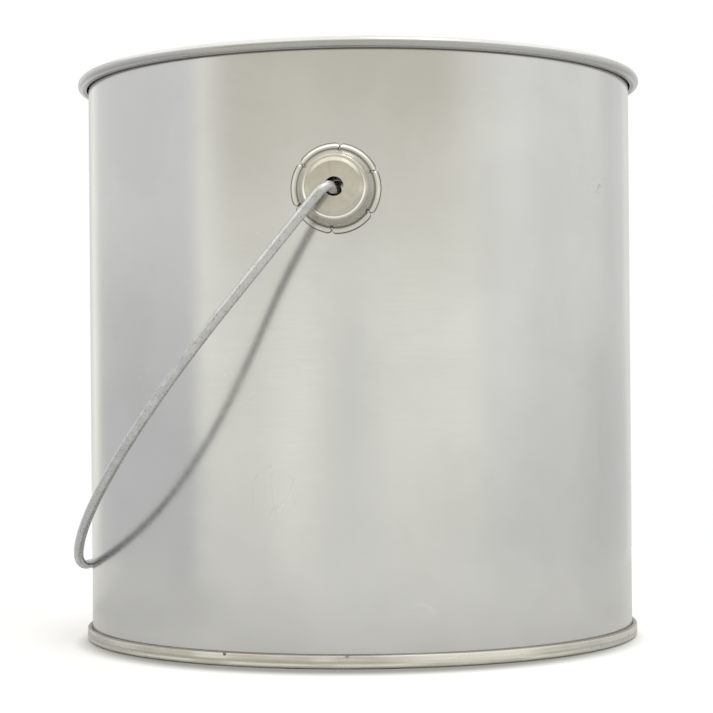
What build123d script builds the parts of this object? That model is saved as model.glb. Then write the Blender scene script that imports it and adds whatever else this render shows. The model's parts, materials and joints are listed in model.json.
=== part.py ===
from build123d import *
import os
from math import acos, atan2, cos, degrees, hypot, radians, sin, tan

# Round tinplate paint can: a welded body, a double-seamed bottom end, a friction ring with its
# press-in lid, and a wire bail that swings in two stamped ears.
# Millimetres, +Z up. The origin is on the can's axis, in the plane that the bottom seam stands on.
# The ears lie on the Y axis and the bail hangs down on the -X side.

# --- Driving dimensions: sheets and the can as a whole ---------------------------------------
body_radius = 70.0            # outside of the rolled body
can_height = 143.3            # floor to the top of the rim bead
body_sheet = 0.30             # thickness of the body sheet
end_sheet = 0.34              # thickness of the bottom end and of the friction ring
lid_sheet = 0.32              # thickness of the lid
ear_sheet = 0.50              # thickness of the ears
seam_film = 0.09              # sealing compound between two layers of a seam
fold_flat = 0.03              # straight run on each side of the middle of a tight fold

# --- Welded side seam of the body ------------------------------------------------------------
weld_angle = 52.0             # degrees round from +X, clear of both ears
weld_width = 1.1              # lapped strip, along the circumference
weld_proud = 0.12             # how far the lap stands out of the body

# --- Bottom end and its double seam ----------------------------------------------------------
seam_height = 3.25            # from the floor to the seam's top edge
seam_foot_radius = 0.6        # rounding of the two folds that the can stands on
hook_tip_gap = 0.45           # cover hook's tip to the body's fold
seam_bead_height = 0.34       # sealing compound above the tip of the body's hook
countersink_depth = 3.9       # floor to the mid-plane of the bottom panel's rim
panel_corner_radius = 1.2     # bend between the chuck wall and the panel
panel_step_insets = (11.4, 26.4)  # from the chuck wall in to where the panel steps up
panel_step_rise = 0.9         # height of each step
panel_step_bend = 0.7         # bend radius of each step

# --- Rim: the ring's flange rolled over the body's flange ------------------------------------
rim_proud = 2.6               # rim bead beyond the body
rim_height = 2.5              # height of the rim bead
rim_top_radius = 1.0          # outer roll of the bead, on the sheet's mid-line
rim_lower_radius = 0.75        # lower roll of the bead
rim_tuck_gap = 0.45           # between the tucked edge and the body
rim_inner_radius = 1.1        # bend from the rim's top into the chuck wall
body_flange_radius = 0.6      # bends of the body's own flange
body_flange_drop = 1.0        # length of its turned-down edge
rim_bead_width = 0.6          # sealing compound in the floor of the rolled edge

# --- Friction ring ---------------------------------------------------------------------------
groove_depth = 5.6            # rim's top to the groove floor's mid-plane
groove_width = 6.1            # mid-line width of the groove
groove_bend = 1.0             # bends at the floor of the groove
ring_bead_width = 1.7         # mid-line width of the bead round the mouth
ring_bead_drop = 1.25         # rim's top down to the top of that bead
mouth_depth = 6.2             # straight wall that grips the plug
hem_width = 0.95              # folded lower edge of the mouth
hem_length = 1.1

# --- Lid -------------------------------------------------------------------------------------
plug_clearance = 0.10         # radial fit of the plug in the mouth
lid_seat_gap = 0.25           # lid's flange over the bead round the mouth
lid_overhang = 2.6            # lid's curl beyond the ring's bead, on the mid-lines
lid_curl_drop = 1.8           # height of the curl
lid_curl_width = 1.2          # width of the curl
lid_curl_end = 0.9            # height of the curl's inner leg
plug_depth = 5.2              # flange's mid-plane to the floor of the channel
plug_bend = 0.8
channel_width = 4.4           # mid-line width of the channel inside the plug wall
lid_panel_drop = 1.6          # flange's mid-plane to the panel
lid_step_inset = 12.8         # from the channel in to where the panel steps down
lid_step_rise = 0.7           # height of that step
lid_step_bend = 0.6

# --- Ears ------------------------------------------------------------------------------------
ear_axis_height = 109.0       # floor to the middle of the ears
ear_radius = 10.25            # outer edge of the petals
ear_crease_radius = 8.9       # where the cup's wall meets the petals
ear_disc_radius = 7.35        # corner between the flat face and the wall
ear_depth = 5.4               # outer face beyond the body
ear_shoulder_radius = 0.5     # bend between the face and the wall
ear_foot_radius = 0.5         # bend between the wall and the petals
ear_hole_radius = 2.2
petal_count = 6
petal_slit_width = 0.4
petal_slit_angle = 24.0       # degrees, of the first slit from the ear's horizontal
petal_relief_radius = 0.35    # round end of each slit
ear_seat_gap = 0.02           # between the petals and the body

# --- Bail ------------------------------------------------------------------------------------
wire_radius = 1.2
bail_bend_radius = 3.0        # bend between the stub and the leg, on the wire's centre line
bail_stub_length = 4.5           # ear's outer face to the corner of the bend
bail_offset = 1.7                # legs' plane beside the pivot axis
bail_flare = 2.9                 # degrees, legs away from each other
bail_leg_length = 34.3           # corner of the bend to the end of the straight leg
bail_corner_radius = 75.2        # the leg runs on into this arc, and the arc into the bow
bail_corner_turn = 63.4          # degrees
bail_corner_tilt = 3.1           # degrees, the arc leans out of the legs' plane toward the body
bail_rest_gap = 0.3           # wire to body where the bail comes to rest
stub_running_gap = 0.25       # wire above the lower edge of the ear's hole
head_radius = 2.6             # upset end that keeps the wire in its ear
head_thickness = 1.0
head_setback = 1.1            # ear's inner face to the head
head_edge_radius = 0.25

# --- Sizes that follow -----------------------------------------------------------------------
body_mid = body_radius - body_sheet / 2
body_bore = body_radius - body_sheet
chuck_mid = body_bore - seam_film - end_sheet / 2
cover_hook_mid = body_radius + seam_film + end_sheet / 2
body_hook_mid = cover_hook_mid + end_sheet / 2 + seam_film + body_sheet / 2
cover_wall_mid = body_hook_mid + body_sheet / 2 + seam_film + end_sheet / 2
seam_fold_radius = (body_hook_mid - body_mid) / 2 - fold_flat

seam_foot_z = end_sheet / 2
body_fold_z = end_sheet + seam_film + body_sheet / 2
seam_top_z = seam_height - end_sheet / 2
body_hook_end_z = seam_height - end_sheet - seam_film - seam_bead_height
cover_hook_end_z = body_fold_z + body_sheet / 2 + hook_tip_gap

rim_top_z = can_height - end_sheet / 2
rim_tuck_z = can_height - rim_height + end_sheet / 2
rim_side_mid = body_radius + rim_proud - end_sheet / 2
rim_tuck_end = body_radius + rim_tuck_gap
body_flange_z = can_height - end_sheet - seam_film - body_sheet / 2
body_flange_mid = rim_side_mid - end_sheet / 2 - seam_film - body_sheet / 2
body_flange_end_z = body_flange_z - body_flange_drop

groove_z = can_height - groove_depth
ring_wall_mid = chuck_mid - groove_width
mouth_mid = ring_wall_mid - ring_bead_width
mouth_radius = mouth_mid - end_sheet / 2    # bore that holds the lid's plug
ring_bead_radius = ring_bead_width / 2 - fold_flat
ring_bead_z = can_height - ring_bead_drop - end_sheet / 2
hem_z = ring_bead_z - mouth_depth
hem_mid = mouth_mid + hem_width
hem_radius = hem_width / 2 - fold_flat

lid_flange_z = ring_bead_z + end_sheet / 2 + lid_seat_gap + lid_sheet / 2
lid_edge_mid = ring_wall_mid + lid_overhang
lid_curl_z = lid_flange_z - lid_curl_drop
lid_curl_end_mid = lid_edge_mid - lid_curl_width
lid_curl_bend = lid_curl_width / 2 - fold_flat
plug_mid = mouth_radius - plug_clearance - lid_sheet / 2
plug_floor_z = lid_flange_z - plug_depth
channel_mid = plug_mid - channel_width
lid_panel_z = lid_flange_z - lid_panel_drop

ear_face = body_radius + ear_depth
ear_hole_middle = ear_face - ear_sheet / 2
ear_cutter_height = 3 * ear_radius    # longer than the ear is tall


def ring_of_sheet(mid_line_points, bend_radii, thickness):
    """Bent sheet all the way round: its mid-line is drawn as (radius, height) and turned about Z."""
    mid_line = FilletPolyline(*mid_line_points, radius=bend_radii)
    return revolve(Plane.XZ * trace(mid_line, line_width=thickness), axis=Axis.Z)


def stepped_panel(step_radii, rise, rim_z):
    """Mid-line points of a round panel from its middle out to its rim, with 45 degree steps."""
    points = [(0, rim_z + rise * len(step_radii))]
    for level, radius in enumerate(sorted(step_radii), start=1):
        lower_z = rim_z + rise * (len(step_radii) - level)
        points += [(radius - abs(rise), lower_z + rise), (radius, lower_z)]
    return points


# --- Can body: rolled sheet, hooked at the bottom and flanged at the top ----------------------
can_body = ring_of_sheet(
    [
        (body_hook_mid, body_hook_end_z),
        (body_hook_mid, body_fold_z),
        (body_mid, body_fold_z),
        (body_mid, body_flange_z),
        (body_flange_mid, body_flange_z),
        (body_flange_mid, body_flange_end_z),
    ],
    [seam_fold_radius, seam_fold_radius, body_flange_radius, body_flange_radius],
    body_sheet,
)
weld_bottom = seam_height + seam_film
weld_top = can_height - rim_height - seam_film
weld_strip = Pos(body_mid, 0, weld_bottom) * Box(
    body_sheet + 2 * weld_proud, weld_width, weld_top - weld_bottom,
    align=(Align.CENTER, Align.CENTER, Align.MIN),
)
weld_strip -= Cylinder(body_mid, can_height, align=(Align.CENTER, Align.CENTER, Align.MIN))
can_body += Rot(0, 0, weld_angle) * weld_strip

# --- Bottom end: panel, chuck wall and the cover's share of the double seam -------------------
panel_step_radii = [chuck_mid - inset for inset in panel_step_insets]
panel_points = stepped_panel(panel_step_radii, panel_step_rise, countersink_depth)
bottom_end = ring_of_sheet(
    panel_points
    + [
        (chuck_mid, countersink_depth),
        (chuck_mid, seam_foot_z),
        (cover_wall_mid, seam_foot_z),
        (cover_wall_mid, seam_top_z),
        (cover_hook_mid, seam_top_z),
        (cover_hook_mid, cover_hook_end_z),
    ],
    [panel_step_bend] * (len(panel_points) - 1)
    + [panel_corner_radius, seam_foot_radius, seam_foot_radius, seam_fold_radius, seam_fold_radius],
    end_sheet,
)

# --- Friction ring: rim bead, chuck wall, groove, bead round the mouth and its hem -------------
friction_ring = ring_of_sheet(
    [
        (rim_tuck_end, rim_tuck_z),
        (rim_side_mid, rim_tuck_z),
        (rim_side_mid, rim_top_z),
        (chuck_mid, rim_top_z),
        (chuck_mid, groove_z),
        (ring_wall_mid, groove_z),
        (ring_wall_mid, ring_bead_z),
        (mouth_mid, ring_bead_z),
        (mouth_mid, hem_z),
        (hem_mid, hem_z),
        (hem_mid, hem_z + hem_length),
    ],
    [
        rim_lower_radius,
        rim_top_radius,
        rim_inner_radius,
        groove_bend,
        groove_bend,
        ring_bead_radius,
        ring_bead_radius,
        hem_radius,
        hem_radius,
    ],
    end_sheet,
)


# --- Sealing compound: a ring of it in each of the two seams -----------------------------------
def compound_ring(outer_radius, width, bottom_z, height):
    """Ring of set compound with a square section."""
    return Pos(0, 0, bottom_z) * (
        Cylinder(outer_radius, height, align=(Align.CENTER, Align.CENTER, Align.MIN))
        - Cylinder(outer_radius - width, height, align=(Align.CENTER, Align.CENTER, Align.MIN))
    )


# At the bottom it fills the fold above the tip of the body's hook; in the rim it lies in the
# floor of the rolled edge.
bottom_seam_compound = compound_ring(
    body_hook_mid + body_sheet / 2, body_sheet, body_hook_end_z, seam_bead_height
)
rim_floor_z = rim_tuck_z + end_sheet / 2
top_seam_compound = compound_ring(
    rim_side_mid - rim_lower_radius, rim_bead_width, rim_floor_z, body_flange_end_z - rim_floor_z
)

# --- Lid: curled edge, flange, plug with its channel, and the panel ----------------------------
lid_panel_points = stepped_panel([channel_mid - lid_step_inset], -lid_step_rise, lid_panel_z)
lid = ring_of_sheet(
    lid_panel_points
    + [
        (channel_mid, lid_panel_z),
        (channel_mid, plug_floor_z),
        (plug_mid, plug_floor_z),
        (plug_mid, lid_flange_z),
        (lid_edge_mid, lid_flange_z),
        (lid_edge_mid, lid_curl_z),
        (lid_curl_end_mid, lid_curl_z),
        (lid_curl_end_mid, lid_curl_z + lid_curl_end),
    ],
    [lid_step_bend] * (len(lid_panel_points) - 1)
    + [plug_bend, plug_bend, plug_bend, plug_bend, lid_curl_bend, lid_curl_bend, lid_curl_bend],
    lid_sheet,
)

# --- Ears: a stamped cup with a pierced face and six petals that lie on the body ---------------
ear_plane = Plane(origin=(0, 0, ear_axis_height), x_dir=(1, 0, 0), z_dir=(0, -1, 0))


def make_ear():
    """The ear on the -Y side. Local Z of its plane points out of the can along the pivot."""
    seat_radius = body_radius + ear_seat_gap
    cup_points = [
        (ear_hole_radius, ear_hole_middle),
        (ear_disc_radius, ear_hole_middle),
        (ear_crease_radius, seat_radius),
        (ear_crease_radius, seat_radius - ear_depth),
    ]
    cup = ear_plane.location * ring_of_sheet(cup_points, [ear_shoulder_radius, ear_foot_radius], ear_sheet)
    seat = Pos(0, 0, ear_axis_height) * Cylinder(seat_radius, ear_cutter_height)
    petal_skin = Pos(0, 0, ear_axis_height) * Cylinder(seat_radius + ear_sheet, ear_cutter_height)
    petal_ring = ear_plane.location * (
        Cylinder(ear_radius, ear_face, align=(Align.CENTER, Align.CENTER, Align.MIN))
        - Cylinder(ear_crease_radius - ear_sheet, ear_face, align=(Align.CENTER, Align.CENTER, Align.MIN))
    )
    slits = []
    slit_start = ear_crease_radius + petal_relief_radius
    for index in range(petal_count):
        turn = Rot(0, 0, petal_slit_angle + index * 360 / petal_count)
        slit = Pos(slit_start, 0, 0) * Box(
            ear_radius, petal_slit_width, ear_face, align=(Align.MIN, Align.CENTER, Align.MIN)
        )
        relief = Pos(slit_start, 0, 0) * Cylinder(
            petal_relief_radius, ear_face, align=(Align.CENTER, Align.CENTER, Align.MIN)
        )
        slits.append(ear_plane.location * turn * (slit + relief))
    return (cup - seat) + (petal_ring & petal_skin) - seat - slits


front_ear = make_ear()
rear_ear = Rot(0, 0, 180) * make_ear()

# --- Bail: one wire with a stub, a bend and a flared leg on each side, and a wide bow ----------
# It is drawn as (side, reach, offset): side along +Y, reach away from the pivot axis and offset
# square to the legs' plane, then laid down to the angle where the bow meets the body.
leg = Vector(sin(radians(bail_flare)), cos(radians(bail_flare)), 0)
inward = Vector(-leg.Y, leg.X, 0).rotate(Axis((0, 0, 0), leg), -bail_corner_tilt)
bend_corner = Vector(ear_face + bail_stub_length, 0, bail_offset)
leg_end = bend_corner + leg * bail_leg_length
corner_sin, corner_cos = sin(radians(bail_corner_turn)), cos(radians(bail_corner_turn))
bow_start = leg_end + (leg * corner_sin + inward * (1 - corner_cos)) * bail_corner_radius
bow_tangent = leg * corner_cos + inward * corner_sin

# The bow is the one arc that leaves the corner without a kink and meets its mirror image squarely.
bow_ahead = Vector(0, bow_tangent.Y, bow_tangent.Z)
bow_radius = bow_start.X / bow_ahead.length
bow_inward = (bow_tangent * bow_tangent.X - Vector(1, 0, 0)) * (1 / bow_ahead.length)
bow_middle = bow_start + (bow_inward + bow_ahead.normalized()) * bow_radius

pivot_height = ear_axis_height - (ear_hole_radius - wire_radius - stub_running_gap)
rest_radius = body_radius + bail_rest_gap + wire_radius
bail_swing_radius = hypot(bow_middle.Y, bow_middle.Z)
bail_rest_angle = degrees(acos(rest_radius / bail_swing_radius) + atan2(bow_middle.Z, bow_middle.Y))
bail_direction = (-cos(radians(bail_rest_angle)), 0, -sin(radians(bail_rest_angle)))
bail_normal = (-sin(radians(bail_rest_angle)), 0, cos(radians(bail_rest_angle)))
bail_plane = Plane(origin=(0, 0, pivot_height), x_dir=(0, 1, 0), z_dir=bail_normal)


def make_bail():
    """The whole wire and its two upset heads, as one solid."""
    stub = (bend_corner - Vector(ear_hole_middle, 0, 0)).normalized()
    turn_angle = stub.get_angle(leg)
    tangent_length = bail_bend_radius * tan(radians(turn_angle) / 2)
    bend_start = bend_corner - stub * tangent_length
    bend_end = bend_corner + leg * tangent_length

    head_front = (ear_face - ear_sheet - head_setback - ear_hole_middle) / stub.X
    wire_start = Vector(ear_hole_middle, 0, 0) + stub * (head_front - head_thickness)
    half = [
        Line(wire_start, bend_start),
        TangentArc(bend_start, bend_end, tangent=stub),
        Line(bend_end, leg_end),
        TangentArc(leg_end, bow_start, tangent=leg),
        TangentArc(bow_start, bow_middle, tangent=bow_tangent),
    ]
    section = Plane(origin=wire_start, z_dir=stub) * Circle(wire_radius)
    half_wire = sweep(section, path=Wire(half))
    head = Plane(origin=wire_start, z_dir=stub) * Cylinder(
        head_radius, head_thickness, align=(Align.CENTER, Align.CENTER, Align.MIN)
    )
    head = fillet(head.edges().filter_by(GeomType.CIRCLE), head_edge_radius)
    half_bail = half_wire + head
    return bail_plane.location * (half_bail + mirror(half_bail, about=Plane.YZ))


bail_wire = make_bail()

# --- One STEP file for each piece -------------------------------------------------------------
pieces = {
    "can_body": can_body,
    "bottom_end": bottom_end,
    "bottom_seam_compound": bottom_seam_compound,
    "friction_ring": friction_ring,
    "top_seam_compound": top_seam_compound,
    "front_ear": front_ear,
    "rear_ear": rear_ear,
    "bail_wire": bail_wire,
    "lid": lid,
}
os.makedirs("parts", exist_ok=True)
for name, piece in pieces.items():
    export_step(piece, f"parts/{name}.step")
print(f"bail pivot {pivot_height:.2f}, rest angle {bail_rest_angle:.2f}")
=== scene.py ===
"""Round tinplate paint can with a friction lid and a wire bail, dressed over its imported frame."""

import json
import logging
import math
from collections.abc import Sequence
from dataclasses import dataclass, field
from enum import Enum

import bmesh
import bpy
from bmesh.types import BMEdge, BMesh, BMVert
from bpy.types import Material, Node, NodeSocket, Object, World
from mathutils import Matrix, Vector


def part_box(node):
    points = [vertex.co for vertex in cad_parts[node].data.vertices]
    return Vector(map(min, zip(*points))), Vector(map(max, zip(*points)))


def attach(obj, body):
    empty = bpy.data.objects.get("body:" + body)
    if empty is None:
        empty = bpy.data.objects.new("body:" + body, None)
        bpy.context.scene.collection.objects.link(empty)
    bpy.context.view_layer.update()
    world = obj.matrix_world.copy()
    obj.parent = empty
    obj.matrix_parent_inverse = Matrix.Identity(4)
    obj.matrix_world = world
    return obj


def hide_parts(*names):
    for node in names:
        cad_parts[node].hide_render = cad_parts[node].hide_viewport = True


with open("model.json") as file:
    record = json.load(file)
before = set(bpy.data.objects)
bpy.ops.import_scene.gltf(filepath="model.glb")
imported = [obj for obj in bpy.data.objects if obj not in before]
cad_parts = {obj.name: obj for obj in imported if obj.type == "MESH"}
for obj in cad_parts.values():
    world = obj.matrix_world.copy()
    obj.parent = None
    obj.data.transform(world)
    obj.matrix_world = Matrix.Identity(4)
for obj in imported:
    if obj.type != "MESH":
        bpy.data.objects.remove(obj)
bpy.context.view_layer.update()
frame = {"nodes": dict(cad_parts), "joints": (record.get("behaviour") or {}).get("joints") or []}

MM = 0.001
CUT_EDGE = "cut_edge"
DOUBLES = 1e-4
log = logging.getLogger("paint_can")

Colour = tuple[float, float, float]
Point = tuple[float, float, float]
Span = tuple[float, float]
WHITE: Colour = (1.0, 1.0, 1.0)
BLACK: Colour = (0.0, 0.0, 0.0)
RISE: Span = (0.0, 1.0)
FALL: Span = (1.0, 0.0)
AXIS_POINT: Point = (0.0, 0.0, 0.0)


class Body(Enum):
    """Rigid bodies of the frame."""

    CAN = "can"
    BAIL = "bail"
    LID = "lid"


class Slot(Enum):
    """Material slots of the record."""

    BODY = "body_tinplate"
    BOTTOM = "bottom_tinplate"
    RING = "ring_tinplate"
    LID = "lid_tinplate"
    EAR = "ear_tinplate"
    BAIL = "bail_steel"
    COMPOUND = "seam_compound"


Finishes = dict[Slot, Material]


# --- Mesh helpers ----------------------------------------------------------------------------


@dataclass(frozen=True)
class Corner:
    """A corner of a section before it is rounded, in millimetres.

    radius is the distance from the axis, height the place along it, and bend the radius that
    rounds the corner, or 0 for an end of the sheet.
    """

    radius: float
    height: float
    bend: float = 0.0


def box_mm(node: str) -> tuple[Vector, Vector]:
    """Lowest and highest corner of a CAD node in millimetres."""
    low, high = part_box(node)
    return Vector(low) / MM, Vector(high) / MM


def rounded_section(bm: BMesh, corners: Sequence[Corner], segments: int) -> None:
    """Draws a section in the XZ plane as a chain of edges and rounds its corners.

    Args:
        bm: Empty mesh that receives the chain.
        corners: Corners from one end of the sheet to the other.
        segments: Edges in each rounded corner.
    """
    points = [bm.verts.new((c.radius, 0.0, c.height)) for c in corners]
    for first, second in zip(points, points[1:]):
        bm.edges.new((first, second))
    places = [p.co.copy() for p in points]
    for index in range(1, len(corners) - 1):
        if corners[index].bend <= 0.0:
            continue
        arrive = (places[index] - places[index - 1]).normalized()
        leave = (places[index + 1] - places[index]).normalized()
        offset = corners[index].bend * math.tan(arrive.angle(leave) / 2)
        bmesh.ops.bevel(
            bm, geom=[points[index]], offset=offset, offset_type="OFFSET", segments=segments,
            profile=0.5, affect="VERTICES", clamp_overlap=False, material=-1,
        )


def spin_section(bm: BMesh, steps: int, start: float = 0.0, angle: float = math.tau) -> None:
    """Turns the section round Z and closes its pole and, after a full turn, its seam.

    Args:
        bm: Mesh that holds only the section.
        steps: Faces round the sweep.
        start: Angle in degrees of the first column of faces.
        angle: Sweep in radians.
    """
    turn = Matrix.Rotation(math.radians(start), 3, "Z")
    bmesh.ops.rotate(bm, verts=bm.verts[:], cent=AXIS_POINT, matrix=turn)
    bmesh.ops.spin(
        bm, geom=bm.verts[:] + bm.edges[:], cent=AXIS_POINT, axis=(0, 0, 1), angle=angle,
        steps=steps, use_merge=angle == math.tau,
    )
    bmesh.ops.remove_doubles(bm, verts=bm.verts[:], dist=DOUBLES)
    bmesh.ops.recalc_face_normals(bm, faces=bm.faces[:])


def add_object(name: str, data: bpy.types.ID) -> Object:
    """Puts a mesh, a lamp or a camera into the scene as an object of that name.

    Args:
        name: Name of the object.
        data: Mesh, lamp or camera.

    Returns:
        The new object.
    """
    made = bpy.data.objects.new(name, data)
    bpy.context.scene.collection.objects.link(made)
    return made


def to_piece(bm: BMesh, name: str) -> Object:
    """Turns a mesh drawn in millimetres into an object at the origin, in metres.

    Args:
        bm: Finished mesh, freed here.
        name: Name of the piece.

    Returns:
        The new object, shaded smooth.
    """
    bmesh.ops.scale(bm, verts=bm.verts[:], vec=(MM, MM, MM))
    mesh = bpy.data.meshes.new(name)
    bm.to_mesh(mesh)
    bm.free()
    mesh.shade_smooth()
    return add_object(name, mesh)


def ease_edges(piece: Object, width: float, angle: float = 40.0, segments: int = 2) -> None:
    """Adds a Bevel modifier that eases the sharp edges.

    Args:
        piece: Object that gets the modifier.
        width: Width of the eased edge in millimetres.
        angle: Edges sharper than this, in degrees, are eased.
        segments: Faces across each eased edge.
    """
    ease = piece.modifiers.new("eased edges", "BEVEL")
    ease.width = width * MM
    ease.segments = segments
    ease.limit_method = "ANGLE"
    ease.angle_limit = math.radians(angle)
    ease.use_clamp_overlap = True
    ease.harden_normals = True


def to_sheet(bm: BMesh, name: str, thickness: float, edge: float, segments: int = 2) -> Object:
    """Turns a mid-surface into a piece of sheet metal, with flats that stay flat.

    Args:
        bm: Finished mid-surface in millimetres, freed here.
        name: Name of the piece.
        thickness: Thickness of the sheet in millimetres.
        edge: Width of its eased cut edges in millimetres.
        segments: Faces across each eased edge.

    Returns:
        The piece with its modifiers.
    """
    piece = to_piece(bm, name)
    wall = piece.modifiers.new("sheet thickness", "SOLIDIFY")
    wall.thickness = thickness * MM
    wall.offset = 0.0
    wall.use_even_offset = True
    ease_edges(piece, edge, segments=segments)
    shade = piece.modifiers.new("weighted shading", "WEIGHTED_NORMAL")
    shade.mode = "FACE_AREA"
    shade.weight = 50
    shade.keep_sharp = False
    return piece


@dataclass
class SheetRing:
    """Sheet metal bent to a section and turned about the can's axis."""

    name: str
    thickness: float
    corners: list[Corner]
    steps: int = 224
    segments: int = 7
    edge: float = 0.05

    def build(self) -> Object:
        """Makes the ring with its thickness and eased cut edges.

        Returns:
            The ring with its modifiers.
        """
        bm = bmesh.new()
        rounded_section(bm, self.corners, self.segments)
        spin_section(bm, self.steps)
        return to_sheet(bm, self.name, self.thickness, self.edge)


def enter(piece: Object, body: Body, slot: Slot, finishes: Finishes, *nodes: str) -> None:
    """Dresses a piece, hangs it on its body and hides the CAD nodes that it stands for.

    Args:
        piece: Finished piece.
        body: Body that it rides on.
        slot: Material slot that it takes its finish from.
        finishes: Material for each slot.
        nodes: CAD nodes that it stands for.
    """
    piece.data.materials.clear()
    piece.data.materials.append(finishes[slot])
    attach(piece, body.value)
    if nodes:
        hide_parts(*nodes)
    log.info("%s: %d faces, rides %s", piece.name, len(piece.data.polygons), body.value)


# --- Finishes --------------------------------------------------------------------------------


@dataclass(frozen=True)
class Pattern:
    """A noise, and the strength that it stands for.

    scale is in waves per millimetre, for all three axes or for each. detail, rough and warp are
    the number and strength of the finer layers and how far the noise is pushed about. Where the
    noise crosses span, the strength runs smoothly from the first value of strength to the second.
    """

    scale: float | Point
    span: Span = RISE
    strength: Span = RISE
    detail: float = 3.0
    rough: float = 0.5
    warp: float = 0.0


@dataclass(frozen=True)
class Ramp:
    """A strength that runs smoothly from first to last while a value runs from start to end."""

    start: float
    end: float
    first: float = 0.0
    last: float = 1.0


@dataclass(frozen=True)
class Stripe:
    """A soft stripe where a value is near its middle: half its width, its border and strength."""

    middle: float
    width: float
    soft: float
    most: float = 1.0


class Shader:
    """The nodes of a material, or of the world, while they are put together."""

    def __init__(self, owner: Material | World) -> None:
        """Empties the nodes of a new material or world.

        Args:
            owner: New material or world that gets the nodes.
        """
        self.owner = owner
        owner.use_nodes = True
        self.tree = owner.node_tree
        self.tree.nodes.clear()
        self.places = self.node("ShaderNodeTexCoord").outputs

    def node(
        self, kind: str, inputs: dict[str | int, object] | None = None, **settings: object
    ) -> Node:
        """Adds a node.

        Args:
            kind: Its type.
            inputs: What goes into its sockets, by name or by number.
            settings: Its properties.

        Returns:
            The node.
        """
        made = self.tree.nodes.new(kind)
        for key, value in settings.items():
            setattr(made, key, value)
        for key, value in (inputs or {}).items():
            socket = made.inputs[key]
            if isinstance(value, NodeSocket):
                self.tree.links.new(value, socket)
            else:
                socket.default_value = (*value, 1.0) if socket.type == "RGBA" else value
        return made

    def math(self, operation: str, first: object, second: object = 0.0) -> NodeSocket:
        """One arithmetic step on two values."""
        return self.node("ShaderNodeMath", {0: first, 1: second}, operation=operation).outputs[0]

    def times(self, first: object, second: object) -> NodeSocket:
        """Product of two values."""
        return self.math("MULTIPLY", first, second)

    def larger(self, first: object, second: object) -> NodeSocket:
        """The larger of two values."""
        return self.math("MAXIMUM", first, second)

    def rest(self, share: object) -> NodeSocket:
        """What a share leaves of 1."""
        return self.math("SUBTRACT", 1.0, share)

    def mix(self, share: object, first: object, second: object, label: str = "") -> NodeSocket:
        """Blends two colours.

        Args:
            share: How much of the second colour, from 0 to 1.
            first: Colour at share 0.
            second: Colour at share 1.
            label: Label of the node.

        Returns:
            The blended colour.
        """
        colours = {0: share, 6: first, 7: second}
        return self.node("ShaderNodeMix", colours, data_type="RGBA", label=label).outputs[2]

    def remap(self, value: NodeSocket, span: Span, onto: Span = RISE) -> NodeSocket:
        """Maps one span onto another, smooth and held at both ends.

        Args:
            value: Value to map.
            span: Where the value starts and ends.
            onto: What it is mapped onto.

        Returns:
            The mapped value.
        """
        keys = ("From Min", "From Max", "To Min", "To Max")
        inputs = {"Value": value, **dict(zip(keys, (*span, *onto)))}
        made = self.node("ShaderNodeMapRange", inputs, interpolation_type="SMOOTHSTEP")
        return made.outputs["Result"]

    def ramp(self, value: NodeSocket, ramp: Ramp) -> NodeSocket:
        """Strength of a ramp at a value."""
        return self.remap(value, (ramp.start, ramp.end), (ramp.first, ramp.last))

    def between(self, value: NodeSocket, ends: Span, edges: Span) -> NodeSocket:
        """1 between two ends and 0 outside, with a soft edge at each end.

        Args:
            value: Value to place.
            ends: Lower and upper end.
            edges: Half the width of the soft edge at each end.

        Returns:
            The strength.
        """
        low, high = ((end - edge, end + edge) for end, edge in zip(ends, edges))
        return self.times(self.remap(value, low), self.remap(value, high, FALL))

    def stripe(self, value: NodeSocket, stripe: Stripe) -> NodeSocket:
        """Strength of a stripe laid across a value."""
        beside = self.math("ABSOLUTE", self.math("SUBTRACT", value, stripe.middle))
        return self.remap(beside, (stripe.width, stripe.width + stripe.soft), (stripe.most, 0.0))

    def stretched(self, scale: float | Point = 1.0) -> NodeSocket:
        """Object coordinates in millimetres, stretched by scale.

        Args:
            scale: Factor for all three axes, or one for each.

        Returns:
            The coordinates.
        """
        factors = (scale,) * 3 if isinstance(scale, float) else scale
        inputs = {"Vector": self.places["Object"], "Scale": [factor / MM for factor in factors]}
        return self.node("ShaderNodeMapping", inputs).outputs["Vector"]

    def split(self, vector: NodeSocket) -> Sequence[NodeSocket]:
        """X, Y and Z of a vector."""
        return self.node("ShaderNodeSeparateXYZ", {0: vector}).outputs

    def height(self) -> NodeSocket:
        """Height above the plane that the can stands on, in millimetres."""
        return self.split(self.stretched())["Z"]

    def away_from(self, axis: str, centre: Point = AXIS_POINT) -> NodeSocket:
        """Distance in millimetres from a line through centre along X, Y or Z.

        Args:
            axis: Letter of the axis that the line follows.
            centre: A point of the line in millimetres.

        Returns:
            The distance.
        """
        across = [float(name != axis) for name in "XYZ"]
        place = self.stretched()
        for operation, other in (("SUBTRACT", centre), ("MULTIPLY", across)):
            made = self.node("ShaderNodeVectorMath", {0: place, 1: other}, operation=operation)
            place = made.outputs[0]
        return self.node("ShaderNodeVectorMath", {0: place}, operation="LENGTH").outputs["Value"]

    def within(self, radius: float, edge: float = 0.05) -> NodeSocket:
        """1 nearer to the can's axis than radius, and 0 beyond, in millimetres."""
        return self.remap(self.away_from("Z"), (radius - edge, radius + edge), FALL)

    def noise(self, pattern: Pattern) -> NodeSocket:
        """Noise of a pattern, from 0 to 1.

        Args:
            pattern: Recipe of the noise.

        Returns:
            The noise.
        """
        inputs = {
            "Vector": self.stretched(pattern.scale), "Scale": 1.0, "Detail": pattern.detail,
            "Roughness": pattern.rough, "Distortion": pattern.warp,
        }
        return self.node("ShaderNodeTexNoise", inputs).outputs["Fac"]

    def strength(self, pattern: Pattern) -> NodeSocket:
        """Strength that a pattern stands for."""
        return self.remap(self.noise(pattern), pattern.span, pattern.strength)

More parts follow.
